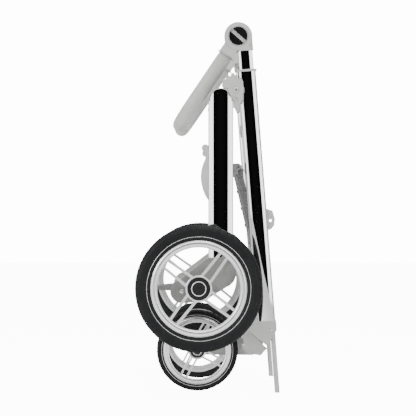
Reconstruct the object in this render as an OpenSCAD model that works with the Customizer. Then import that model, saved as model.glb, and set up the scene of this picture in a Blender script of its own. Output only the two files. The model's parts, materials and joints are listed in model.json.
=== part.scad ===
// Folded pram-type chassis standing on end: +Z up, +X towards the stand toes, Y across.
// Millimetres. The right-hand side is at -Y; the left-hand side is its mirror image.

/* [Overall] */
// Folded depth, from the rear tyres to the stand toes
depth = 343; // [325:1:370]
// Height of the handle hinge centre above the floor
head_z = 851; // [810:1:900]
// Distance of each side frame's middle plane from the centre
frame_half = 190; // [180:1:215]

/* [Wheels] */
// Radius of the rear tyres
rear_r = 150; // [135:1:155]
// Width of the rear tyres
rear_tyre_w = 42; // [36:1:46]
// Radius of the rear rims under the tyre
rear_rim_r = 113; // [95:1:120]
// Radius of the front tyres
front_r = 98; // [88:1:102]
// Width of the front tyres
front_tyre_w = 38; // [32:1:40]
// Radius of the front rims under the tyre
front_rim_r = 82; // [65:1:84]
// Radius of the rear axle rod
axle_r = 6; // [5:0.5:8]
// Radius of the front axle bolts
bolt_r = 4; // [3:0.5:5]

/* [Tubes] */
// Width of the main tubes seen from the side
main_w = 44; // [38:1:48]
// Thickness of the main and leg tubes across the frame
tube_t = 24; // [20:1:26]
// Width of the upper tubes
upper_w = 36; // [30:1:38]
// Width of the rear leg tubes
leg_w = 60; // [50:1:62]
// Wall of the tubes
wall = 1.6; // [1.2:0.1:2]

/* [Handle] */
// Length from the hinge centre to the middle of the cross grip
handle_len = 250; // [220:1:270]
// Diameter of the padded grip
grip_d = 36; // [30:1:38]
// Angle of the folded handle from the vertical
handle_tilt = 34; // [33:1:42]
// Radius of the round hinge heads
head_r = 33.5; // [31:0.5:36]
// Radius of the push buttons in the heads
button_r = 21.5; // [18:0.5:23]

/* [Fits] */
// Radial clearance of a pin or axle in its bore
run_fit = 0.06; // [0.02:0.01:0.1]
// Gap between moving neighbours
gap = 0.6; // [0.4:0.1:1]
// Radius of the accessory holes in the lugs
lug_hole_r = 3.2; // [2.5:0.1:4]

/* [Hidden] */
$fn = 64;

tilt = 4.53;
foot_x = depth / 2 - 32.3;
foot_z = 173;
collar_z = head_z - 84;
function tube_x(z) = foot_x - (z - foot_z) * tan(tilt);
function along(z) = (z - foot_z) / cos(tilt);

head_x = tube_x(head_z) - 13.3;
pivot_z = head_z - 128.6;
pivot_x = tube_x(pivot_z) - main_w / 2 - 6.8;
leg_x = pivot_x - leg_w / 2 - 6.3;
leg_top = pivot_z - 26.4;
leg_foot = 296;
boss_r = 6.2;
axle_x = -depth / 2 + rear_r;
axle_z = 252;

swivel_a = 48;
swivel_x = foot_x - 24;
swivel_z = 131.7;
front_x = swivel_x - 141;
front_z = front_r;
caster_y = frame_half - 40;
front_in = caster_y - front_tyre_w / 2 - 2;
front_out = caster_y + front_tyre_w / 2 + 2;
arm_t = 6;
pin_r = 6;

bracket_out = frame_half + 46;
rear_in = bracket_out + 11;
rear_out = rear_in + rear_tyre_w - 3;
rear_mid = (rear_in + rear_out) / 2;

strut_z = pivot_z - 183;
strut_x = leg_x + leg_w / 2 + 11;
strut_y = frame_half - tube_t / 2 - 6;
strut_len = strut_z - foot_z - 116.4;
bumper_z = max(strut_z - 24, axle_z + 140);
strut_t = 4;

head_t = 28;
head_out = frame_half + head_t / 2;
head_in = frame_half - head_t / 2;
socket_in = head_in - 20;
arm_y = (head_out + socket_in) / 2;
arm_start = head_r + 18;
pin_depth = 10;
toe_r = 6;
lever_x = main_w / 2 + 4.5;
lever_up = 8;
lever_pin = 1.5;
grip_bend = 60;
brake_x = axle_x - 40;
brake_z = axle_z - 8;

silver = [0.80, 0.81, 0.82];
grey = [0.78, 0.78, 0.76];
dark_grey = [0.42, 0.42, 0.42];
black = [0.05, 0.05, 0.055];

module side(s) { if (s < 0) children(); else mirror([0, 1, 0]) children(); }
module rod(x, z, r, y0, y1) { translate([x, y1, z]) rotate([90, 0, 0]) cylinder(r = r, h = y1 - y0); }
module slab(y0, y1) { translate([0, y1, 0]) rotate([90, 0, 0]) linear_extrude(y1 - y0) children(); }
module tube_line() { translate([foot_x, -frame_half, foot_z]) rotate([0, -tilt, 0]) children(); }

// Flattened tube section: bowed sides and round ends
module oval(w, t) {
    end_r = t / 2 + 0.5;
    bow = w * 1.35;
    intersection() {
        translate([0, bow - t / 2]) circle(bow, $fn = 128);
        translate([0, t / 2 - bow]) circle(bow, $fn = 128);
        union() {
            square([w - 2 * end_r, 2 * end_r], center = true);
            for (e = [-1, 1]) translate([e * (w / 2 - end_r), 0]) circle(end_r);
        }
    }
}
module oval_tube(w, t, z0, z1) {
    translate([0, 0, z0]) difference() {
        linear_extrude(z1 - z0) oval(w, t);
        translate([0, 0, -1]) linear_extrude(z1 - z0 + 2) oval(w - 2 * wall, t - 2 * wall);
    }
}

// ---- main frame
module main_tube(s) side(s) color(silver) tube_line() oval_tube(main_w, tube_t, -14, along(collar_z));
module main_tube_right() main_tube(-1);
module main_tube_left() main_tube(1);

module tube_collar(s) side(s) color(grey) tube_line() translate([0, 0, along(collar_z)]) {
    difference() {
        union() {
            translate([0, 0, 0.1]) linear_extrude(5) oval(main_w + 5, tube_t + 4);
            translate([-lever_x - 2.5, -5, 0.1]) cube([lever_x + 2.5 - main_w / 2 - 1.5, 10, lever_up + 3]);
        }
        translate([0, 0, -20]) linear_extrude(40) oval(upper_w + 2 * gap, upper_t() + 2 * gap);
        translate([-lever_x, -7, lever_up]) rotate([-90, 0, 0]) cylinder(r = lever_pin + run_fit, h = 14);
    }
}
function upper_t() = tube_t - 7;
module tube_collar_right() tube_collar(-1);
module tube_collar_left() tube_collar(1);

module collar_lever(s) side(s) color(grey) tube_line() translate([-lever_x, 0, along(collar_z) + lever_up]) {
    rotate([90, 0, 0]) translate([0, 0, -8]) cylinder(r = lever_pin, h = 16);
    for (e = [-1, 1]) translate([0, e * 6.75, 0]) {
        rotate([90, 0, 0]) translate([0, 0, -1.25]) cylinder(r = 2.5, h = 2.5);
        rotate([0, -12, 0]) translate([-2, -1.25, 0]) cube([3.6, 2.5, 14]);
    }
    rotate([0, -12, 0]) translate([-2, -8, 5.5]) cube([3.6, 16, 9]);
}
module collar_lever_right() collar_lever(-1);
module collar_lever_left() collar_lever(1);

// Toothed hub on the rear edge of the main tube, with the leg pivot between its cheeks
module pivot_hub(s) side(s) color(grey) {
    cheek = 3.5;
    ear = tube_t / 2 + 1.8 + gap;
    edge_x = tube_x(pivot_z) - main_w / 2;
    difference() {
        slab(-frame_half - ear - cheek, -frame_half + ear + cheek) {
            hub_side();
            polygon([[pivot_x, pivot_z + 17], [edge_x + 2, pivot_z + 30], [edge_x + 8, pivot_z + 20],
                     [edge_x + 9, pivot_z - 22], [edge_x + 3, pivot_z - 34], [pivot_x + 2, pivot_z - 17]]);
        }
        tube_line() translate([0, 0, along(pivot_z) - 60]) linear_extrude(120) oval(main_w + 0.2, tube_t + 0.2);
        rod(pivot_x, pivot_z, 4.01, -frame_half - 40, -frame_half + 40);
        slab(-frame_half - ear, -frame_half + ear) {
            translate([pivot_x, pivot_z]) circle(12);
            polygon([[pivot_x + 1, pivot_z + 60], [pivot_x - 60, pivot_z + 60], [pivot_x - 60, pivot_z - 50],
                     [pivot_x + 5.5, pivot_z - 50], [pivot_x + 5.5, pivot_z - 10]]);
        }
    }
}
module hub_side() {
    translate([pivot_x, pivot_z]) {
        circle(18);
        intersection() {
            circle(36);
            polygon([[6, 0], [2, 45], [-45, 30], [-30, 6]]);
        }
        for (a = [102, 122, 142]) rotate(a) translate([33, -4]) square([8, 8]);
    }
}
module pivot_hub_right() pivot_hub(-1);
module pivot_hub_left() pivot_hub(1);

module pivot_pins() color(silver) for (s = [-1, 1]) side(s)
    rod(pivot_x, pivot_z, 4, -frame_half - 19, -frame_half + 19);

// Front corner casting with the swivel bore
module knuckle(s) side(s) color(grey) difference() {
    slab(-frame_half - 16, -caster_y + 26) polygon([
        [swivel_x - 13.6, foot_z - 14.1], [foot_x - 22.3, foot_z - 3.4], [foot_x + 23.2, foot_z - 0.3],
        [foot_x + 24.6, foot_z - 23.2], [foot_x + 6, foot_z - 55], [foot_x + 0.3, foot_z - 59.7],
        [swivel_x - 19.8, foot_z - 23]]);
    translate([swivel_x, 0, swivel_z]) rotate([0, 90 - swivel_a, 0])
        translate([-80, -frame_half - 40, -60]) cube([160, 160, 60 + gap / 2]);
    tube_line() translate([0, 0, -14.1]) linear_extrude(60) oval(main_w + 0.2, tube_t + 0.2);
    stand_rod(toe_r + 0.05);
    swivel_line() translate([0, 0, -5]) cylinder(r = pin_r + run_fit, h = 33);
    rod(foot_x - 6, foot_z - 25, 9.1, -caster_y + 11, -caster_y + 40);
}
module swivel_line() { translate([swivel_x, -caster_y, swivel_z]) rotate([0, 90 - swivel_a, 0]) children(); }
module knuckle_right() knuckle(-1);
module knuckle_left() knuckle(1);

// Stand leg, from inside the knuckle down to a flat foot on the floor
module stand_rod(r) {
    toe_x = depth / 2 - toe_r;
    top_x = foot_x + 15.5;
    top_z = foot_z - 28;
    translate([top_x, -frame_half - 3, top_z]) rotate([0, atan((top_x - toe_x) / top_z), 0])
        translate([0, 0, -top_z - 4]) cylinder(r = r, h = top_z + 4);
}
module stand_leg(s) side(s) color(grey) intersection() {
    stand_rod(toe_r);
    translate([0, -2 * frame_half, 0]) cube([depth, 2 * frame_half, foot_z]);
}
module stand_leg_right() stand_leg(-1);
module stand_leg_left() stand_leg(1);

module accessory_lug(s) side(s) color(grey) {
    lug_z = foot_z + 240;
    lug_x = tube_x(lug_z) + main_w / 2;
    difference() {
        slab(-frame_half - 5, -frame_half + 5) polygon([
            [lug_x - 8, lug_z - 25], [lug_x + 8, lug_z - 24], [lug_x + 16, lug_z - 14],
            [lug_x + 18, lug_z + 2], [lug_x + 12, lug_z + 22], [lug_x - 4, lug_z + 27], [lug_x - 12, lug_z + 27]]);
        tube_line() translate([0, 0, along(lug_z) - 40]) linear_extrude(80) oval(main_w + 0.1, tube_t + 0.1);
        rod(lug_x + 7, lug_z - 2, lug_hole_r, -frame_half - 6, -frame_half + 6);
    }
}
module accessory_lug_right() accessory_lug(-1);
module accessory_lug_left() accessory_lug(1);

module front_cross_tube() color(silver) difference() {
    rod(foot_x - 6, foot_z - 25, 9, -caster_y + 11.2, caster_y - 11.2);
    rod(foot_x - 6, foot_z - 25, 7.5, -caster_y, caster_y);
}

// ---- upper frame, sliding in the main tubes
module upper_tube(s) side(s) color(silver) tube_line()
    oval_tube(upper_w, upper_t(), along(collar_z) - 160, along(head_z) - 26);
module upper_tube_right() upper_tube(-1);
module upper_tube_left() upper_tube(1);

module hinge_head(s) side(s) color(grey) difference() {
    union() {
        rod(head_x, head_z, head_r, -head_out, -head_in);
        tube_line() translate([0, 0, along(head_z) - 34]) linear_extrude(34) oval(upper_w + 5, head_t);
    }
    tube_line() translate([0, 0, along(head_z) - 60]) linear_extrude(34.1) oval(upper_w + 0.2, upper_t() + 0.2);
    rod(head_x, head_z, button_r + 3, -head_out - 1, -head_out + 7);
    rod(head_x, head_z, 5 + run_fit, -head_out, -head_in + 1);
}
module hinge_head_right() hinge_head(-1);
module hinge_head_left() hinge_head(1);

module button_bezels() color(silver) for (s = [-1, 1]) side(s) difference() {
    rod(head_x, head_z, button_r + 2.9, -head_out - 1.2, -head_out + 6.9);
    rod(head_x, head_z, button_r + 0.4, -head_out - 2, -head_out + 8);
}
module hinge_button(s) side(s) color(black) difference() {
    rod(head_x, head_z, button_r, -head_out - 1, -head_out + 3.5);
    translate([head_x, 0, head_z]) rotate([0, 42, 0])
        translate([-button_r - 1, -head_out - 2, -4.1]) cube([2 * button_r + 2, 2.2, 8.2]);
}
module hinge_button_right() hinge_button(-1);
module hinge_button_left() hinge_button(1);

// Plain raised bar across the button
module button_strip(s) side(s) color(silver) intersection() {
    rod(head_x, head_z, button_r - 0.3, -head_out - 2, -head_out + 1);
    translate([head_x, 0, head_z]) rotate([0, 42, 0])
        translate([-button_r - 1, -head_out - 1.6, -4]) cube([2 * button_r + 2, 1.7, 8]);
}
module button_strip_right() button_strip(-1);
module button_strip_left() button_strip(1);

// ---- handle
module handle_frame() { translate([head_x, 0, head_z]) rotate([0, handle_tilt, 0]) children(); }
module handle_socket(s) side(s) color(grey) union() {
    rod(head_x, head_z, head_r - 1, -head_in + gap, -socket_in);
    rod(head_x, head_z, 5, -head_in - pin_depth, -socket_in);
    difference() {
        handle_frame() translate([-grip_d / 2, -head_out, -arm_start]) cube([grip_d, head_out - socket_in, arm_start - 10]);
        rod(head_x, head_z, head_r + gap, -head_out - 1, -head_in + gap);
        tube_line() translate([0, 0, along(head_z) - 90]) linear_extrude(90) oval(upper_w + 8, head_t + 2);
    }
}
module handle_socket_right() handle_socket(-1);
module handle_socket_left() handle_socket(1);

module grip_flanges() color(grey) for (s = [-1, 1]) side(s) handle_frame()
    translate([0, -arm_y, -arm_start - 2.6]) cylinder(r = grip_d / 2 + 4, h = 2.5);

// Padded U-shaped grip: two arms, two bends and the cross piece
module handle_grip() color([0.75, 0.75, 0.73]) handle_frame() {
    drop = handle_len - grip_bend;
    for (s = [-1, 1]) side(s) {
        translate([0, -arm_y, -drop]) cylinder(r = grip_d / 2, h = drop - arm_start - 2.7);
        translate([0, -arm_y + grip_bend, -drop]) rotate([90, 0, 90]) rotate([0, 0, 180])
            rotate_extrude(angle = 90, $fn = 96) translate([grip_bend, 0]) circle(grip_d / 2);
    }
    translate([0, arm_y - grip_bend, -handle_len]) rotate([90, 0, 0])
        cylinder(r = grip_d / 2, h = 2 * (arm_y - grip_bend));
}

// ---- rear frame
module leg_end(r) slab(-frame_half - tube_t, -frame_half + tube_t) {
    translate([leg_x, leg_top]) circle(r);
    translate([leg_x - leg_w, leg_foot - 20]) square([2 * leg_w, leg_top - leg_foot + 20]);
}
module rear_leg(s) side(s) color(silver) intersection() {
    translate([leg_x, -frame_half, 0]) oval_tube(leg_w, tube_t, leg_foot, leg_top + leg_w);
    leg_end(leg_w / 2 - 1);
}
module rear_leg_right() rear_leg(-1);
module rear_leg_left() rear_leg(1);

module leg_cap(s) side(s) color(grey) difference() {
    slab(-frame_half - tube_t / 2 - 1.5, -frame_half + tube_t / 2 + 1.5) {
        translate([leg_x, leg_top]) circle(leg_w / 2 + 1);
        translate([pivot_x, pivot_z]) circle(boss_r);
        polygon([[leg_x + leg_w / 2, leg_top - 6], [pivot_x + 3, pivot_z - 9.5], [pivot_x, pivot_z - boss_r],
                 [pivot_x, pivot_z + boss_r], [leg_x + 8, leg_top + leg_w / 2]]);
    }
    intersection() {
        translate([leg_x, -frame_half - tube_t, leg_top - 60]) translate([-leg_w, 0, 0])
            cube([2 * leg_w, 2 * tube_t, 60 + leg_w]);
        leg_end(leg_w / 2 - 0.9);
    }
    translate([leg_x - 60, -frame_half - 30, leg_top - 80]) cube([120, 60, 76]);
    rod(pivot_x, pivot_z, 4 + run_fit, -frame_half - 20, -frame_half + 20);
}
module leg_cap_right() leg_cap(-1);
module leg_cap_left() leg_cap(1);

module strut_lugs() color(dark_grey) for (s = [-1, 1]) side(s) difference() {
    slab(-frame_half - 5, -strut_y - gap) union() {
        translate([strut_x, strut_z]) circle(8);
        translate([strut_x - 20, strut_z - 18]) square([20, 26]);
    }
    translate([leg_x, -frame_half, strut_z - 40]) linear_extrude(80) oval(leg_w + 0.1, tube_t + 0.1);
    rod(strut_x, strut_z, bolt_r + run_fit, -frame_half - 10, 0);
}
module leg_bumpers() color(grey) for (s = [-1, 1]) side(s) difference() {
    slab(-frame_half - 4, -frame_half + 4) {
        translate([leg_x - leg_w / 2 + 72, bumper_z]) intersection() {
            circle(90);
            translate([-100, -80]) square([40, 160]);
        }
        translate([leg_x - leg_w / 2 - 7, bumper_z + 69]) circle(9);
        translate([leg_x - leg_w / 2 - 8, bumper_z + 54]) square([12, 20]);
    }
    translate([leg_x, -frame_half, bumper_z - 116]) linear_extrude(280) oval(leg_w + 0.1, tube_t + 0.1);
}

// ---- folding strut
strut_dir = -atan((tube_x(strut_z - strut_len) - strut_x) / strut_len);
module strut(s) side(s) color(dark_grey) difference() {
    translate([strut_x, 0, strut_z]) rotate([0, strut_dir, 0]) slab(-strut_y, -strut_y + strut_t) union() {
        circle(9);
        translate([-8, -strut_len]) square([16, strut_len]);
        translate([0, -strut_len]) circle(8);
        for (d = [60 : 45 : 200]) translate([-10, -d]) square([3, 8]);
    }
    rod(strut_x, strut_z, bolt_r, -strut_y - 5, 0);
}
module strut_right() strut(-1);
module strut_left() strut(1);
module strut_rod() color(silver) rod(strut_x, strut_z, bolt_r, -strut_y - 12, strut_y + 12);

// ---- rear axle, brackets and brake
module bracket_outline() {
    translate([axle_x - 40, axle_z - 8]) circle(28);
    translate([axle_x, axle_z + 2]) circle(36);
    translate([leg_x + 2, axle_z + 34]) circle(34);
    polygon([[axle_x - 46, axle_z + 19], [axle_x - 36, axle_z - 35.5], [axle_x + 10, axle_z - 32.5],
             [leg_x + 14, axle_z + 2], [leg_x + 31, axle_z + 70], [leg_x - 31, axle_z + 70]]);
}
module rear_bracket(s) side(s) color(grey) difference() {
    union() {
        slab(-bracket_out + 2, -frame_half + 14) bracket_outline();
        slab(-bracket_out, -bracket_out + 2) intersection() {
            bracket_outline();
            union() {
                for (k = [-4 : 4]) translate([axle_x + k * 26, axle_z - 50]) rotate(-18) square([3, 160]);
                for (k = [-1 : 3]) translate([axle_x - 90, axle_z - 30 + k * 24]) rotate(14) square([220, 3]);
                translate([axle_x, axle_z]) circle(16);
            }
        }
    }
    translate([leg_x, -frame_half, leg_foot - 0.1]) linear_extrude(80) oval(leg_w + 0.2, tube_t + 0.2);
    rod(axle_x, axle_z, axle_r + 0.02, -bracket_out - 1, 0);
    rod(brake_x, brake_z, bolt_r + run_fit, -bracket_out - 1, 0);
}
module rear_bracket_right() rear_bracket(-1);
module rear_bracket_left() rear_bracket(1);

module rear_axle() color(silver) rod(axle_x, axle_z, axle_r, -rear_mid - 9, rear_mid + 9);
module axle_cross_tube() color(silver) difference() {
    rod(axle_x, axle_z, 11, -frame_half + 14.1, frame_half - 14.1);
    rod(axle_x, axle_z, axle_r + 0.1, -frame_half, frame_half);
}
module brake_bar() color(silver) rod(brake_x, brake_z, bolt_r, -bracket_out - 4, bracket_out + 4);
module brake_pedal() color(dark_grey) difference() {
    union() {
        rod(brake_x, brake_z, 10, -34, 34);
        slab(-34, 34) polygon([[brake_x - 2, brake_z + 10], [brake_x - 62, brake_z + 4],
            [brake_x - 66, brake_z - 3], [brake_x - 60, brake_z - 7], [brake_x - 2, brake_z - 10]]);
    }
    rod(brake_x, brake_z, bolt_r + 0.02, -60, 60);
}

// ---- wheels: each is turned about an axis along Y
module wheel_at(x, y, z) { translate([x, y, z]) rotate([90, 0, 0]) children(); }
module tyre(r, rim, w) rotate_extrude($fn = 128) polygon([
    [rim + 0.1, -w * 0.40], [rim + (r - rim) * 0.25, -w * 0.47], [rim + (r - rim) * 0.55, -w * 0.5],
    [rim + (r - rim) * 0.85, -w * 0.43], [r - 1.2, -w * 0.3], [r, -w * 0.12], [r, w * 0.12], [r - 1.2, w * 0.3],
    [rim + (r - rim) * 0.85, w * 0.43], [rim + (r - rim) * 0.55, w * 0.5], [rim + (r - rim) * 0.25, w * 0.47],
    [rim + 0.1, w * 0.40]]);

// Dished rim: barrel with an outer flange, hub, and twin spokes near the outer face
module rim(r, w, hub, bore, spoke_a) {
    flange = r * 0.135;
    difference() {
        union() {
            rotate_extrude($fn = 128) polygon([
                [r, -w * 0.40], [r, w * 0.46], [r - 2, w * 0.5], [r - flange, w * 0.40],
                [r - flange - 1, w * 0.34], [r - 5, w * 0.1], [r - 5, -w * 0.40]]);
            translate([0, 0, -w * 0.5]) cylinder(r = hub * 0.62, h = w * 0.86);
            translate([0, 0, w * 0.08]) cylinder(r = hub, h = w * 0.28);
            for (k = [0 : 3]) rotate(spoke_a + 90 * k) for (e = [-1, 1])
                translate([0, 0, w * 0.12]) linear_extrude(w * 0.2) polygon([
                    [hub * 0.8, e * hub * 0.40 - r * 0.028], [r - flange, e * r * 0.085 - r * 0.028],
                    [r - flange, e * r * 0.085 + r * 0.028], [hub * 0.8, e * hub * 0.40 + r * 0.028]]);
        }
        translate([0, 0, -w]) cylinder(r = bore + run_fit, h = 2 * w);
        translate([0, 0, w * 0.25]) cylinder(r = hub - 4, h = w);
    }
}
module hub_cap(r, t) {
    cylinder(r = r, h = t - 1.5);
    translate([0, 0, t - 1.5]) cylinder(r = r - 1.5, h = 1.5);
}

rear_hub = 31;
front_hub = 22;
module rear_tyre(s) side(s) color(black) wheel_at(axle_x, -rear_mid, axle_z) tyre(rear_r, rear_rim_r, rear_tyre_w);
module rear_tyre_right() rear_tyre(-1);
module rear_tyre_left() rear_tyre(1);
module rear_rim(s) side(s) color(silver) wheel_at(axle_x, -rear_mid, axle_z)
    rim(rear_rim_r, rear_tyre_w - 4, rear_hub, axle_r, 53);
module rear_rim_right() rear_rim(-1);
module rear_rim_left() rear_rim(1);
module rear_cap(s) side(s) color(black) wheel_at(axle_x, -rear_mid, axle_z)
    translate([0, 0, (rear_tyre_w - 4) * 0.25 + 0.1]) hub_cap(rear_hub - 4.2, 7);
module rear_cap_right() rear_cap(-1);
module rear_cap_left() rear_cap(1);

// Fork below the swivel plane, with the stem that turns in the knuckle
module front_fork(s) side(s) color(grey) {
    drop = 24;
    difference() {
        union() {
            swivel_line() translate([-30, -26, -drop - gap / 2]) cube([54, 52, drop]);
            swivel_line() translate([0, 0, -4]) cylinder(r = pin_r, h = 30);
            slab(-front_in, -front_in + arm_t) {
                translate([front_x, front_z]) circle(13);
                polygon([[front_x + 2, front_z - 13], [swivel_x - 6, swivel_z - 48], [swivel_x + 4, swivel_z - 30],
                         [swivel_x - 34, swivel_z + 8], [front_x, front_z + 13]]);
            }
            slab(-front_out - arm_t, -front_out) translate([swivel_x, swivel_z]) polygon([
                [-13.6, 11], [26.4, -27.8], [11.4, -44.6], [-17.4, -40.3], [-33, -28.7], [-30, -7.2]]);
        }
        rod(front_x, front_z, bolt_r + 0.02, -front_out - 20, -front_in + 20);
        wheel_at(front_x, -caster_y, front_z) translate([0, 0, -front_tyre_w / 2 - 1.9])
            cylinder(r = front_r + 3, h = front_tyre_w + 3.8);
    }
}
module front_fork_right() front_fork(-1);
module front_fork_left() front_fork(1);
module front_axles(s) side(s) color(silver) {
    rod(front_x, front_z, bolt_r, -caster_y - 8, -front_in + arm_t);
    rod(front_x, front_z, bolt_r + 3, -front_in + arm_t, -front_in + arm_t + 3);
}
module front_axles_right() front_axles(-1);
module front_axles_left() front_axles(1);
module front_tyre(s) side(s) color(black) wheel_at(front_x, -caster_y, front_z) tyre(front_r, front_rim_r, front_tyre_w);
module front_tyre_right() front_tyre(-1);
module front_tyre_left() front_tyre(1);
module front_rim(s) side(s) color(silver) wheel_at(front_x, -caster_y, front_z)
    rim(front_rim_r, front_tyre_w - 4, front_hub, bolt_r, 62);
module front_rim_right() front_rim(-1);
module front_rim_left() front_rim(1);
module front_cap(s) side(s) color(black) wheel_at(front_x, -caster_y, front_z)
    translate([0, 0, (front_tyre_w - 4) * 0.25 + 0.1]) hub_cap(front_hub - 4.2, 5);
module front_cap_right() front_cap(-1);
module front_cap_left() front_cap(1);

main_tube_right();
main_tube_left();
tube_collar_right();
tube_collar_left();
pivot_hub_right();
pivot_hub_left();
pivot_pins();
knuckle_right();
knuckle_left();
stand_leg_right();
stand_leg_left();
accessory_lug_right();
accessory_lug_left();
front_cross_tube();
upper_tube_right();
upper_tube_left();
hinge_head_right();
hinge_head_left();
button_bezels();
hinge_button_right();
hinge_button_left();
button_strip_right();
button_strip_left();
handle_socket_right();
handle_socket_left();
grip_flanges();
handle_grip();
collar_lever_right();
collar_lever_left();
rear_leg_right();
rear_leg_left();
leg_cap_right();
leg_cap_left();
strut_lugs();
leg_bumpers();
strut_right();
strut_left();
strut_rod();
rear_bracket_right();
rear_bracket_left();
rear_axle();
axle_cross_tube();
brake_bar();
brake_pedal();
rear_tyre_right();
rear_tyre_left();
rear_rim_right();
rear_rim_left();
rear_cap_right();
rear_cap_left();
front_fork_right();
front_fork_left();
front_axles_right();
front_axles_left();
front_tyre_right();
front_tyre_left();
front_rim_right();
front_rim_left();
front_cap_right();
front_cap_left();
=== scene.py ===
import json
import math

import bmesh
import bpy
from mathutils import Matrix, Vector


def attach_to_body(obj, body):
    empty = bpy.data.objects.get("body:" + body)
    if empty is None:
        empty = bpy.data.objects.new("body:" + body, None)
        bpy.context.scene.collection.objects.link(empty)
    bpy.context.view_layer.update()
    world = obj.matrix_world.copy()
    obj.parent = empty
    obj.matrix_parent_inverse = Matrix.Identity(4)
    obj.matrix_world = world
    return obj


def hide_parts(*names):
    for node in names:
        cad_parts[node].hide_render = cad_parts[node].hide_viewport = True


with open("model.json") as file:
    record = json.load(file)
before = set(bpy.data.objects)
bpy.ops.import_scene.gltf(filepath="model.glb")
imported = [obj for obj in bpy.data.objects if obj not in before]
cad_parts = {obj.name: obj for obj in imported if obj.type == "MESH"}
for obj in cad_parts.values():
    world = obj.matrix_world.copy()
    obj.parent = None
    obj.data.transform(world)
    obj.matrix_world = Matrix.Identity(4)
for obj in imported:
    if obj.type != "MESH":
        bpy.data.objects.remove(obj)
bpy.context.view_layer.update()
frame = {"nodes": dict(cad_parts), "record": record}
nodes = frame["nodes"]
MM = 0.001

# Sizes repeated from the CAD source, in millimetres and degrees
HEAD_X, HEAD_Z = 72.18, 851.0
HANDLE_TILT, HANDLE_LEN, GRIP_R, GRIP_BEND = 34.0, 250.0, 18.0, 60.0
ARM_Y, ARM_START = 180.0, 51.5
REAR = {"x": -21.5, "y": 266.5, "z": 252.0, "r": 150.0, "rim": 113.0, "w": 42.0,
        "hub": 31.0, "cap": 26.8, "cap_t": 7.0}
FRONT = {"x": -25.8, "y": 150.0, "z": 98.0, "r": 98.0, "rim": 82.0, "w": 38.0,
         "hub": 22.0, "cap": 17.8, "cap_t": 5.0}
RIM_NARROWER = 4.0
SIDES = (("right", -1.0), ("left", 1.0))

# Tread: blocks round each tyre, steps to a block, and the depth of the cuts
REAR_BLOCKS, FRONT_BLOCKS = 54, 42
BLOCK_STEPS = 6
TREAD_CUT = 1.9
# Painted reflection: a thin silver line on the black sidewall, as a share of the way from rim to tread
REFLECTION_SHARE = 0.24

# Padded cover of the grip
COVER_START, COVER_SINK = 2.7, 0.25
END_TUCK, END_STEPS = 1.6, 2.5
SEAM_DEPTH, SEAM_DEGREES = 1.1, 5.0
PUFF_RISE, PUFF_AT, PUFF_DEGREES = 0.15, 16, 9.0
WRINKLE = 0.9
AROUND = 48
# Stitches each side of the seam: angle from it, height above the cover, and thickness
STITCH_ANGLE, STITCH_RISE = 11.0, 0.15
STITCH_END, STITCH_MIDDLE = 0.12, 0.42
STITCH_SIDES = 6

# Bevel widths by material slot, in metres
BEVELLED = {"grey_plastic": 0.0009, "bracket_plastic": 0.0006, "dark_plastic": 0.0006,
            "rim_silver": 0.0005, "black_gloss": 0.0004}
BEVEL_ANGLE = 38
WELD_DISTANCE = 0.00002

# Stage: strengths of the world for camera, mirror-like and diffuse rays, and the floor's glow
SKY, STUDIO, FILL = 14.0, 3.2, 0.85
FLOOR_COLOUR = (0.95, 0.95, 0.95)
FLOOR_GLOW = 11.0
FLOOR_HALF = 9000
# Studio brightness by direction, from straight behind the object (0) to behind the camera (1)
STUDIO_STOPS = ((0.0, 0.6), (0.36, 0.13), (0.70, 0.17), (0.80, 1.0), (0.948, 1.0), (0.957, 0.0), (1.0, 0.002))
CAMERA_PLACE = (0.0, -4.1, 0.441)
LENS, SENSOR = 141.49, 36.0


# ---- materials: noise varies colour, roughness and bump; plain values sit on the shader
def base_material(name, colour, metallic, roughness, ior=1.5):
    mat = bpy.data.materials.new(name)
    mat.use_nodes = True
    shader = mat.node_tree.nodes["Principled BSDF"]
    shader.inputs["Base Color"].default_value = (*colour, 1.0)
    shader.inputs["Metallic"].default_value = metallic
    shader.inputs["Roughness"].default_value = roughness
    shader.inputs["IOR"].default_value = ior
    return mat, mat.node_tree, shader


def noise(tree, scale, detail=4.0, stretch=(1.0, 1.0, 1.0)):
    coord = tree.nodes.new("ShaderNodeTexCoord")
    mapping = tree.nodes.new("ShaderNodeMapping")
    mapping.inputs["Scale"].default_value = stretch
    tex = tree.nodes.new("ShaderNodeTexNoise")
    tex.inputs["Scale"].default_value = scale
    tex.inputs["Detail"].default_value = detail
    tree.links.new(coord.outputs["Object"], mapping.inputs["Vector"])
    tree.links.new(mapping.outputs["Vector"], tex.inputs["Vector"])
    return tex.outputs["Fac"]


def ramp(tree, value, low, high):
    node = tree.nodes.new("ShaderNodeMapRange")
    node.inputs["From Min"].default_value = 0.3
    node.inputs["From Max"].default_value = 0.7
    node.inputs["To Min"].default_value = low
    node.inputs["To Max"].default_value = high
    tree.links.new(value, node.inputs["Value"])
    return node.outputs["Result"]


def tint(tree, shader, value, dark, light):
    node = tree.nodes.new("ShaderNodeValToRGB")
    node.color_ramp.elements[0].position = 0.3
    node.color_ramp.elements[0].color = (*dark, 1.0)
    node.color_ramp.elements[1].position = 0.7
    node.color_ramp.elements[1].color = (*light, 1.0)
    tree.links.new(value, node.inputs["Fac"])
    tree.links.new(node.outputs["Color"], shader.inputs["Base Color"])


def bump(tree, shader, height, strength, distance):
    node = tree.nodes.new("ShaderNodeBump")
    node.inputs["Strength"].default_value = strength
    node.inputs["Distance"].default_value = distance
    tree.links.new(height, node.inputs["Height"])
    tree.links.new(node.outputs["Normal"], shader.inputs["Normal"])


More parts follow.
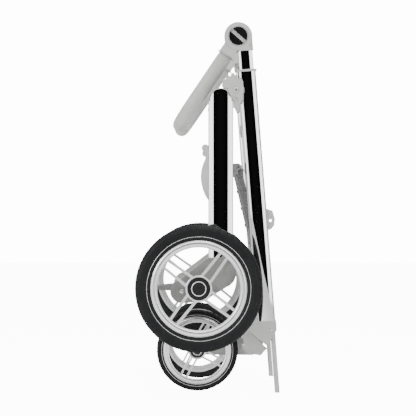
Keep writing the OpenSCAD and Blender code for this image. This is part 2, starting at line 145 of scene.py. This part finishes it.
def metal(name, colour, low, high, stretch=(1, 1, 1), scale=90.0, strength=0.02, metallic=1.0):
    mat, tree, shader = base_material(name, colour, metallic, low)
    tree.links.new(ramp(tree, noise(tree, scale, 5.0, stretch), low, high), shader.inputs["Roughness"])
    dim = tuple(c * 0.95 for c in colour)
    tint(tree, shader, noise(tree, 14.0, 2.0), dim, colour)
    bump(tree, shader, noise(tree, scale * 6, 3.0, stretch), strength, 0.0002)
    return mat


def plastic(name, dark, light, low, high, grain=1400.0, strength=0.12, gleam=0.4):
    mat, tree, shader = base_material(name, light, 0.0, high)
    tint(tree, shader, noise(tree, 22.0, 3.0), dark, light)
    tree.links.new(ramp(tree, noise(tree, 160.0, 4.0), low, high), shader.inputs["Roughness"])
    bump(tree, shader, noise(tree, grain, 3.0), strength, 0.0003)
    shader.inputs["Specular IOR Level"].default_value = gleam
    return mat


def leather(name, dark, light):
    mat, tree, shader = base_material(name, light, 0.0, 0.5)
    tint(tree, shader, noise(tree, 35.0, 5.0), dark, light)
    tree.links.new(ramp(tree, noise(tree, 240.0, 4.0), 0.42, 0.62), shader.inputs["Roughness"])
    shader.inputs["Sheen Weight"].default_value = 0.15
    coord = tree.nodes.new("ShaderNodeTexCoord")
    cells = tree.nodes.new("ShaderNodeTexVoronoi")
    cells.inputs["Scale"].default_value = 620.0
    tree.links.new(coord.outputs["Object"], cells.inputs["Vector"])
    bump(tree, shader, cells.outputs["Distance"], 0.35, 0.0005)
    return mat


MATS = {
    "chrome_tube": metal("m_chrome_tube", (0.86, 0.86, 0.865), 0.012, 0.035, (1, 1, 0.15), 60.0, 0.002),
    "trim_chrome": metal("m_trim_chrome", (0.86, 0.86, 0.865), 0.20, 0.30, (1, 1, 1), 120.0, 0.01, 0.75),
    "steel_pin": metal("m_steel_pin", (0.66, 0.66, 0.67), 0.22, 0.34, (1, 0.1, 1), 300.0, 0.05),
    "rim_silver": metal("m_rim_silver", (0.78, 0.78, 0.78), 0.28, 0.38, (1, 1, 1), 220.0, 0.02, 0.6),
    "black_gloss": plastic("m_black_gloss", (0.004, 0.004, 0.0045), (0.009, 0.009, 0.010),
                           0.10, 0.18, 500.0, 0.02, 0.3),
    "dark_plastic": plastic("m_dark_plastic", (0.14, 0.14, 0.14), (0.18, 0.18, 0.18), 0.42, 0.56),
    "bracket_plastic": plastic("m_bracket_plastic", (0.28, 0.28, 0.27), (0.34, 0.34, 0.33), 0.44, 0.56),
    "grey_plastic": plastic("m_grey_plastic", (0.47, 0.47, 0.46), (0.53, 0.53, 0.515), 0.38, 0.52),
    "tyre_rubber": plastic("m_tyre_rubber", (0.004, 0.0045, 0.005), (0.009, 0.0095, 0.010),
                           0.50, 0.66, 900.0, 0.2, 0.16),
    "grip_cover": leather("m_grip_cover", (0.41, 0.41, 0.395), (0.48, 0.48, 0.465)),
}
POLISHED = metal("m_polished_lip", (0.86, 0.86, 0.86), 0.16, 0.24, (1, 1, 1), 180.0, 0.004, 0.85)
THREAD = plastic("m_thread", (0.50, 0.50, 0.49), (0.60, 0.60, 0.58), 0.6, 0.8, 2200.0, 0.4)


# ---- mesh helpers
def add_mesh(name, verts, faces, mat, smooth=True):
    """New object from points in millimetres."""
    mesh = bpy.data.meshes.new(name)
    mesh.from_pydata([tuple(c * MM for c in v) for v in verts], [], faces)
    mesh.materials.append(mat)
    for poly in mesh.polygons:
        poly.use_smooth = smooth
    mesh.update()
    obj = bpy.data.objects.new(name, mesh)
    bpy.context.scene.collection.objects.link(obj)
    return obj


def grid_faces(rings, per_ring, close_rings, close_ring=True, start=0):
    """Four-sided faces between rings of points, numbered from start."""
    faces = []
    last = rings if close_rings else rings - 1
    width = per_ring if close_ring else per_ring - 1
    for i in range(last):
        for j in range(width):
            a, b = i % rings, (i + 1) % rings
            c = (j + 1) % per_ring
            faces.append((start + a * per_ring + j, start + a * per_ring + c,
                          start + b * per_ring + c, start + b * per_ring + j))
    return faces


def fix_normals(obj):
    bm = bmesh.new()
    bm.from_mesh(obj.data)
    bmesh.ops.recalc_face_normals(bm, faces=bm.faces)
    bm.to_mesh(obj.data)
    bm.free()


def sharpen(obj, degrees=32.0):
    mod = obj.modifiers.new("split", "EDGE_SPLIT")
    mod.split_angle = math.radians(degrees)


def lathe(name, centre, profile, mat, segments=96):
    """Closed profile of (radius, y) pairs turned about the Y axis through centre."""
    verts = []
    for i in range(segments):
        a = 2 * math.pi * i / segments
        for r, y in profile:
            verts.append((centre[0] + r * math.cos(a), centre[1] + y, centre[2] + r * math.sin(a)))
    obj = add_mesh(name, verts, grid_faces(segments, len(profile), True), mat)
    fix_normals(obj)
    sharpen(obj)
    return obj


def lathe_solid(name, centre, profile, mat, segments=48):
    """Profile from the axis out and back, as a disc; its first and last points lie on the axis."""
    verts = [(centre[0], centre[1] + y, centre[2]) for y in (profile[0][1], profile[-1][1])]
    inner = profile[1:-1]
    for i in range(segments):
        a = 2 * math.pi * i / segments
        for r, y in inner:
            verts.append((centre[0] + r * math.cos(a), centre[1] + y, centre[2] + r * math.sin(a)))
    faces = grid_faces(segments, len(inner), True, False, 2)
    n = len(inner)
    for i in range(segments):
        j = (i + 1) % segments
        faces.append((0, 2 + i * n, 2 + j * n))
        faces.append((1, 2 + j * n + n - 1, 2 + i * n + n - 1))
    obj = add_mesh(name, verts, faces, mat)
    fix_normals(obj)
    sharpen(obj)
    return obj


def attach(obj, body):
    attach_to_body(obj, body)


# ---- tyres: ribbed sidewalls and a tread of grooved blocks
def tyre(name, spec, sign, node, body, blocks):
    r, rim, w = spec["r"], spec["rim"] + 0.1, spec["w"]
    band = r - rim
    # radius, and share of the width from the middle: two shallow sidewall grooves, the shoulder,
    # and a groove beside the tread's middle rib
    half = [(rim, 0.40), (rim + band * 0.10, 0.44), (rim + band * 0.20, 0.462), (rim + band * 0.24, 0.452),
            (rim + band * 0.28, 0.472), (rim + band * 0.42, 0.488), (rim + band * 0.55, 0.498),
            (rim + band * 0.60, 0.484), (rim + band * 0.64, 0.490), (rim + band * 0.74, 0.465),
            (rim + band * 0.84, 0.425), (r - 3.2, 0.375), (r - 1.8, 0.325), (r - 0.9, 0.26), (r - 0.3, 0.16),
            (r - 0.25, 0.105), (r - 2.2, 0.085), (r - 2.2, 0.055), (r - 0.05, 0.035)]
    profile = [(a, -b * w) for a, b in half] + [(a, b * w) for a, b in reversed(half)]
    steps = blocks * BLOCK_STEPS
    verts = []
    for i in range(steps):
        a = 2 * math.pi * i / steps
        for rad, y in profile:
            share = abs(y) / w
            if 0.10 < share < 0.44 and rad > rim + band * 0.8:
                # the cut slants: it shifts round the tyre with the distance from the middle
                phase = (i + int(share * 14)) % BLOCK_STEPS
                if phase in (0, 1):
                    rad -= TREAD_CUT
            verts.append((spec["x"] + rad * math.cos(a), sign * spec["y"] + y, spec["z"] + rad * math.sin(a)))
    obj = add_mesh(name, verts, grid_faces(steps, len(profile), True), MATS["tyre_rubber"])
    fix_normals(obj)
    sharpen(obj, 28.0)
    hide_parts(node)
    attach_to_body(obj, body)


# ---- wheel trim: a polished lip, a painted reflection line on the sidewall, and rings on the hub and its cap
def oval(radius, across, rise, height, sign, points=12):
    """Section of a ring, with its half sizes across the radius and along the axle."""
    turns = (2 * math.pi * k / points for k in range(points))
    return [(radius + across * math.cos(t), sign * (rise + height * math.sin(t))) for t in turns]


def wheel_trim(prefix, spec, sign, body):
    def place(out):
        return (spec["x"], sign * (spec["y"] + out), spec["z"])

    rim_w = spec["w"] - RIM_NARROWER
    lip = oval(spec["rim"] - 7.6, 6.4, -0.6, 2.2, sign, 24)
    attach(lathe(prefix + "_lip", place(rim_w / 2), lip, POLISHED, 192), body)

    # painted reflection: a thin silver ring on the sidewall stands for a bright reflected line, not a part of
    # the tyre
    reflection_radius = spec["rim"] + (spec["r"] - spec["rim"]) * REFLECTION_SHARE
    reflection_ring = lathe(prefix + "_painted_reflection_line", place(spec["w"] * 0.455), oval(reflection_radius, 0.5, 0.0, 0.5, sign),
                 MATS["rim_silver"], 160)
    attach(reflection_ring, body)

    hub = oval(spec["hub"] - 1.6, 1.3, 0.1, 1.0, sign)
    attach(lathe(prefix + "_hub_ring", place(rim_w * 0.36), hub, MATS["trim_chrome"]), body)

    cap_face = rim_w * 0.25 + 0.1 + spec["cap_t"]
    cap = oval(spec["cap"] * 0.62, 0.9, 0.0, 0.7, sign)
    attach(lathe(prefix + "_cap_ring", place(cap_face), cap, MATS["rim_silver"]), body)


for side_name, sign in SIDES:
    for end, spec, blocks in (("rear", REAR, REAR_BLOCKS), ("front", FRONT, FRONT_BLOCKS)):
        tyre(end + "_tyre_rubber_" + side_name, spec, sign, end + "_tyre_" + side_name,
             end + "_wheel_" + side_name, blocks)
    for end, spec in (("rear", REAR), ("front", FRONT)):
        wheel_trim(end + "_" + side_name, spec, sign, end + "_wheel_" + side_name)


# ---- padded grip: swept cover with a sewn seam along the inner side
HANDLE = Matrix.Translation((HEAD_X, 0, HEAD_Z)) @ Matrix.Rotation(math.radians(HANDLE_TILT), 4, "Y")


def grip_path(step=3.0):
    """Points, directions and bend of the grip's middle line: down one arm, round, across and back."""
    top, drop = -ARM_START - COVER_START, -(HANDLE_LEN - GRIP_BEND)
    points = []
    count = int((top - drop) / step)
    for k in range(count):
        points.append(((0, -ARM_Y, top + (drop - top) * k / count), (0, 0, -1), 0.0))
    turns = int(math.pi / 2 * GRIP_BEND / step)
    for k in range(turns):
        a = math.pi / 2 * k / turns
        points.append(((0, -ARM_Y + GRIP_BEND * (1 - math.cos(a)), drop - GRIP_BEND * math.sin(a)),
                       (0, math.sin(a), -math.cos(a)), math.sin(2 * a)))
    y0 = -ARM_Y + GRIP_BEND
    count = int(-2 * y0 / step)
    for k in range(count // 2):
        points.append(((0, y0 - 2 * y0 * k / count, -HANDLE_LEN), (0, 1, 0), 0.0))
    mirrored = [((p[0], -p[1], p[2]), (0, d[1], -d[2]), b) for p, d, b in reversed(points)]
    return points + [((0, 0, -HANDLE_LEN), (0, 1, 0), 0.0)] + mirrored


PATH = grip_path()


def grip_point(k, angle, extra=0.0):
    """Point on the cover at path step k; angle 0 is the seam, on the inner side."""
    (px, py, pz), (dx, dy, dz), bend = PATH[k]
    inward = Vector((0, -dz, dy))
    across = Vector((1, 0, 0))
    ends = min(k, len(PATH) - 1 - k)
    radius = GRIP_R - COVER_SINK - END_TUCK * max(0.0, 1 - ends / END_STEPS) ** 2
    radius -= SEAM_DEPTH * math.exp(-(math.degrees(angle) / SEAM_DEGREES) ** 2)
    radius += PUFF_RISE * math.exp(-((abs(math.degrees(angle)) - PUFF_AT) / PUFF_DEGREES) ** 2)
    inside = max(0.0, math.cos(angle))
    radius -= bend * inside * (0.5 + 0.5 * math.sin(k * 1.9)) * WRINKLE
    radius += extra
    return Vector((px, py, pz)) + (inward * math.cos(angle) + across * math.sin(angle)) * radius


verts = []
for k in range(len(PATH)):
    for j in range(AROUND):
        a = 2 * math.pi * j / AROUND
        verts.append(tuple(HANDLE @ grip_point(k, a - 2 * math.pi if a > math.pi else a)))
faces = grid_faces(len(PATH), AROUND, False)
faces.append(tuple(range(AROUND)))
faces.append(tuple(range((len(PATH) - 1) * AROUND, len(PATH) * AROUND)))
grip = add_mesh("grip_padding", verts, faces, MATS["grip_cover"])
fix_normals(grip)
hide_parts("handle_grip")
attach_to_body(grip, "handle")

verts, faces = [], []
for k in range(3, len(PATH) - 5, 2):
    for lean in (-1, 1):
        angle = math.radians(STITCH_ANGLE) * lean
        a = HANDLE @ grip_point(k, angle, STITCH_RISE)
        b = HANDLE @ grip_point(k + 1, angle, STITCH_RISE)
        along = (b - a).normalized()
        side_way = along.orthogonal().normalized()
        other = along.cross(side_way)
        start = len(verts)
        rings = ((0.0, STITCH_END), (0.18, STITCH_MIDDLE), (0.82, STITCH_MIDDLE), (1.0, STITCH_END))
        for t, thick in rings:
            centre = a.lerp(b, t)
            for j in range(STITCH_SIDES):
                u = 2 * math.pi / STITCH_SIDES * j
                verts.append(tuple(centre + (side_way * math.cos(u) + other * math.sin(u)) * thick))
        faces += grid_faces(len(rings), STITCH_SIDES, False, True, start)
        last = start + (len(rings) - 1) * STITCH_SIDES
        faces.append(tuple(start + j for j in range(STITCH_SIDES)))
        faces.append(tuple(last + j for j in range(STITCH_SIDES)))
stitches = add_mesh("grip_stitching", verts, faces, THREAD)
fix_normals(stitches)
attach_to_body(stitches, "handle")


# ---- screw and rivet heads
def rivet(name, x, y, z, radius, height, sign, body):
    profile = [(0, -0.3 * sign), (radius, -0.3 * sign), (radius, 0.25 * height * sign),
               (radius * 0.86, 0.75 * height * sign), (radius * 0.55, height * sign),
               (radius * 0.42, height * sign), (radius * 0.36, height * 0.35 * sign),
               (0, height * 0.3 * sign)]
    attach(lathe_solid(name, (x, sign * y, z), profile, MATS["steel_pin"], 36), body)


for side_name, sign in SIDES:
    rivet("pivot_rivet_" + side_name, 66.87, 209.0, 722.4, 6.2, 2.0, sign, "main_frame")
    rivet("fork_screw_" + side_name, 85.4, 177.0, 113.7, 4.2, 1.6, sign, "caster_" + side_name)
    rivet("brake_end_" + side_name, -61.5, 240.0, 244.0, 5.4, 1.6, sign, "brake")
    rivet("knuckle_screw_" + side_name, 150.0, 206.0, 152.0, 3.6, 1.2, sign, "main_frame")


# ---- finishes of the carried-over nodes
for entry in frame["record"]["subparts"]:
    obj = nodes[entry["node"]]
    slot_name = entry["material_slot"]
    if not obj.material_slots:
        obj.data.materials.append(None)
    for material_slot in obj.material_slots:
        material_slot.link = "OBJECT"
        material_slot.material = MATS[slot_name]
    if slot_name in BEVELLED and not entry["node"].startswith("pivot_hub"):
        weld = obj.modifiers.new("weld", "WELD")
        weld.merge_threshold = WELD_DISTANCE
        bevel = obj.modifiers.new("edge", "BEVEL")
        bevel.width = BEVELLED[slot_name]
        bevel.segments = 2
        bevel.limit_method = "ANGLE"
        bevel.angle_limit = math.radians(BEVEL_ANGLE)
        obj.modifiers.new("normals", "WEIGHTED_NORMAL")


# ---- floor, lights and camera
def floor_material():
    """Pale matt floor. Its glow is seen by the camera alone, so it casts no light on the object."""
    mat, tree, shader = base_material("m_floor", FLOOR_COLOUR, 0.0, 0.9)
    tint(tree, shader, noise(tree, 3.0, 2.0), tuple(c * 0.985 for c in FLOOR_COLOUR), FLOOR_COLOUR)
    shader.inputs["Emission Color"].default_value = (1.0, 1.0, 1.0, 1.0)
    rays = tree.nodes.new("ShaderNodeLightPath")
    glow = tree.nodes.new("ShaderNodeMath")
    glow.operation = "MULTIPLY"
    glow.inputs[1].default_value = FLOOR_GLOW
    tree.links.new(rays.outputs["Is Camera Ray"], glow.inputs[0])
    tree.links.new(glow.outputs["Value"], shader.inputs["Emission Strength"])
    return mat


def background(tree, colour, strength):
    node = tree.nodes.new("ShaderNodeBackground")
    node.inputs["Color"].default_value = (*colour, 1.0)
    node.inputs["Strength"].default_value = strength
    return node


def studio_brightness(tree):
    """Grey level from the angle to the camera's side: rear, sides, bright strips, dark card."""
    coord = tree.nodes.new("ShaderNodeTexCoord")
    toward = tree.nodes.new("ShaderNodeVectorMath")
    toward.operation = "DOT_PRODUCT"
    toward.inputs[1].default_value = (0.0, -1.0, 0.0)
    half = tree.nodes.new("ShaderNodeMath")
    half.operation = "MULTIPLY_ADD"
    half.inputs[1].default_value = 0.5
    half.inputs[2].default_value = 0.5
    card = tree.nodes.new("ShaderNodeValToRGB")
    elements = card.color_ramp.elements
    while len(elements) < len(STUDIO_STOPS):
        elements.new(0.5)
    for element, (position, grey) in zip(elements, STUDIO_STOPS):
        element.position = position
        element.color = (grey, grey, grey, 1.0)
    tree.links.new(coord.outputs["Generated"], toward.inputs[0])
    tree.links.new(toward.outputs["Value"], half.inputs[0])
    tree.links.new(half.outputs["Value"], card.inputs["Fac"])
    return card.outputs["Color"]


def make_world():
    """Camera rays see the sky, diffuse rays the fill, and all others the studio."""
    world = bpy.data.worlds.new("studio")
    bpy.context.scene.world = world
    world.use_nodes = True
    tree = world.node_tree
    white = (1.0, 1.0, 1.0)
    studio = background(tree, white, STUDIO)
    tree.links.new(studio_brightness(tree), studio.inputs["Color"])
    rays = tree.nodes.new("ShaderNodeLightPath")
    softer = tree.nodes.new("ShaderNodeMixShader")
    mixer = tree.nodes.new("ShaderNodeMixShader")
    tree.links.new(rays.outputs["Is Diffuse Ray"], softer.inputs["Fac"])
    tree.links.new(studio.outputs["Background"], softer.inputs[1])
    tree.links.new(background(tree, white, FILL).outputs["Background"], softer.inputs[2])
    tree.links.new(rays.outputs["Is Camera Ray"], mixer.inputs["Fac"])
    tree.links.new(softer.outputs["Shader"], mixer.inputs[1])
    tree.links.new(background(tree, white, SKY).outputs["Background"], mixer.inputs[2])
    tree.links.new(mixer.outputs["Shader"], tree.nodes["World Output"].inputs["Surface"])


def area_light(name, place, target, size, power):
    data = bpy.data.lights.new(name, "AREA")
    data.size = size
    data.energy = power
    obj = bpy.data.objects.new(name, data)
    obj.location = place
    obj.rotation_euler = (Vector(target) - Vector(place)).to_track_quat("-Z", "Y").to_euler()
    bpy.context.scene.collection.objects.link(obj)


def make_camera():
    """Level camera on the near side, looking along +Y."""
    data = bpy.data.cameras.new("camera")
    data.lens = LENS
    data.sensor_width = SENSOR
    camera = bpy.data.objects.new("camera", data)
    camera.location = CAMERA_PLACE
    camera.rotation_euler = (math.radians(90), 0.0, 0.0)
    bpy.context.scene.collection.objects.link(camera)
    bpy.context.scene.camera = camera


corners = [(x * FLOOR_HALF, y * FLOOR_HALF, 0) for x, y in ((-1, -1), (1, -1), (1, 1), (-1, 1))]
floor = add_mesh("floor", corners, [(0, 1, 2, 3)], floor_material(), False)
make_world()
area_light("overhead", (0.3, -0.3, 3.0), (0, 0, 0.3), 1.6, 62.0)
area_light("left_soft", (-2.4, -1.6, 1.5), (0, 0, 0.4), 1.2, 42.0)
make_camera()

bpy.context.view_layer.update()
